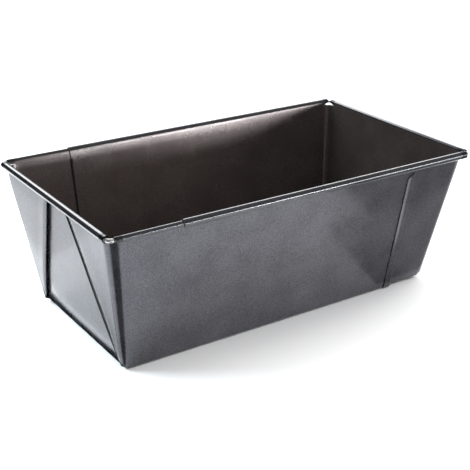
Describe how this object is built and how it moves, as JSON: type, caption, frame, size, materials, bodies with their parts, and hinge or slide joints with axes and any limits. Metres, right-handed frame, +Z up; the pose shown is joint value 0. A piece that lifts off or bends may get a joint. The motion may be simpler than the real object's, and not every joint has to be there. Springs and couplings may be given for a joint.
{
  "type": "adjustable loaf pan",
  "caption": "Folded sheet-metal loaf pan in two nested halves with wired rims that slide apart to lengthen the pan.",
  "frame": {"origin": "bottom centre of the bounding box at the rest setting, on the plane that the pan stands on", "axes": "+X along the pan, from the outer half's closed end to the inner half's; +Y across it; +Z up"},
  "size_m": [0.2864, 0.1606, 0.1021],
  "materials": {
    "coated_sheet": "satin grey metallic lacquer outside, darker brown-black non-stick lacquer inside",
    "rim_wire": "bright drawn steel wire"
  },
  "bodies": {
    "outer_half": {"outer_pan": "coated_sheet", "outer_rim_wire": "rim_wire"},
    "inner_half": {"inner_pan": "coated_sheet", "inner_rim_wire": "rim_wire"}
  },
  "joints": [
    {"name": "pan_slide", "type": "slide", "parent": "outer_half", "child": "inner_half", "axis": [1, 0, 0], "range_m": [-0.027, 0.115]}
  ]
}
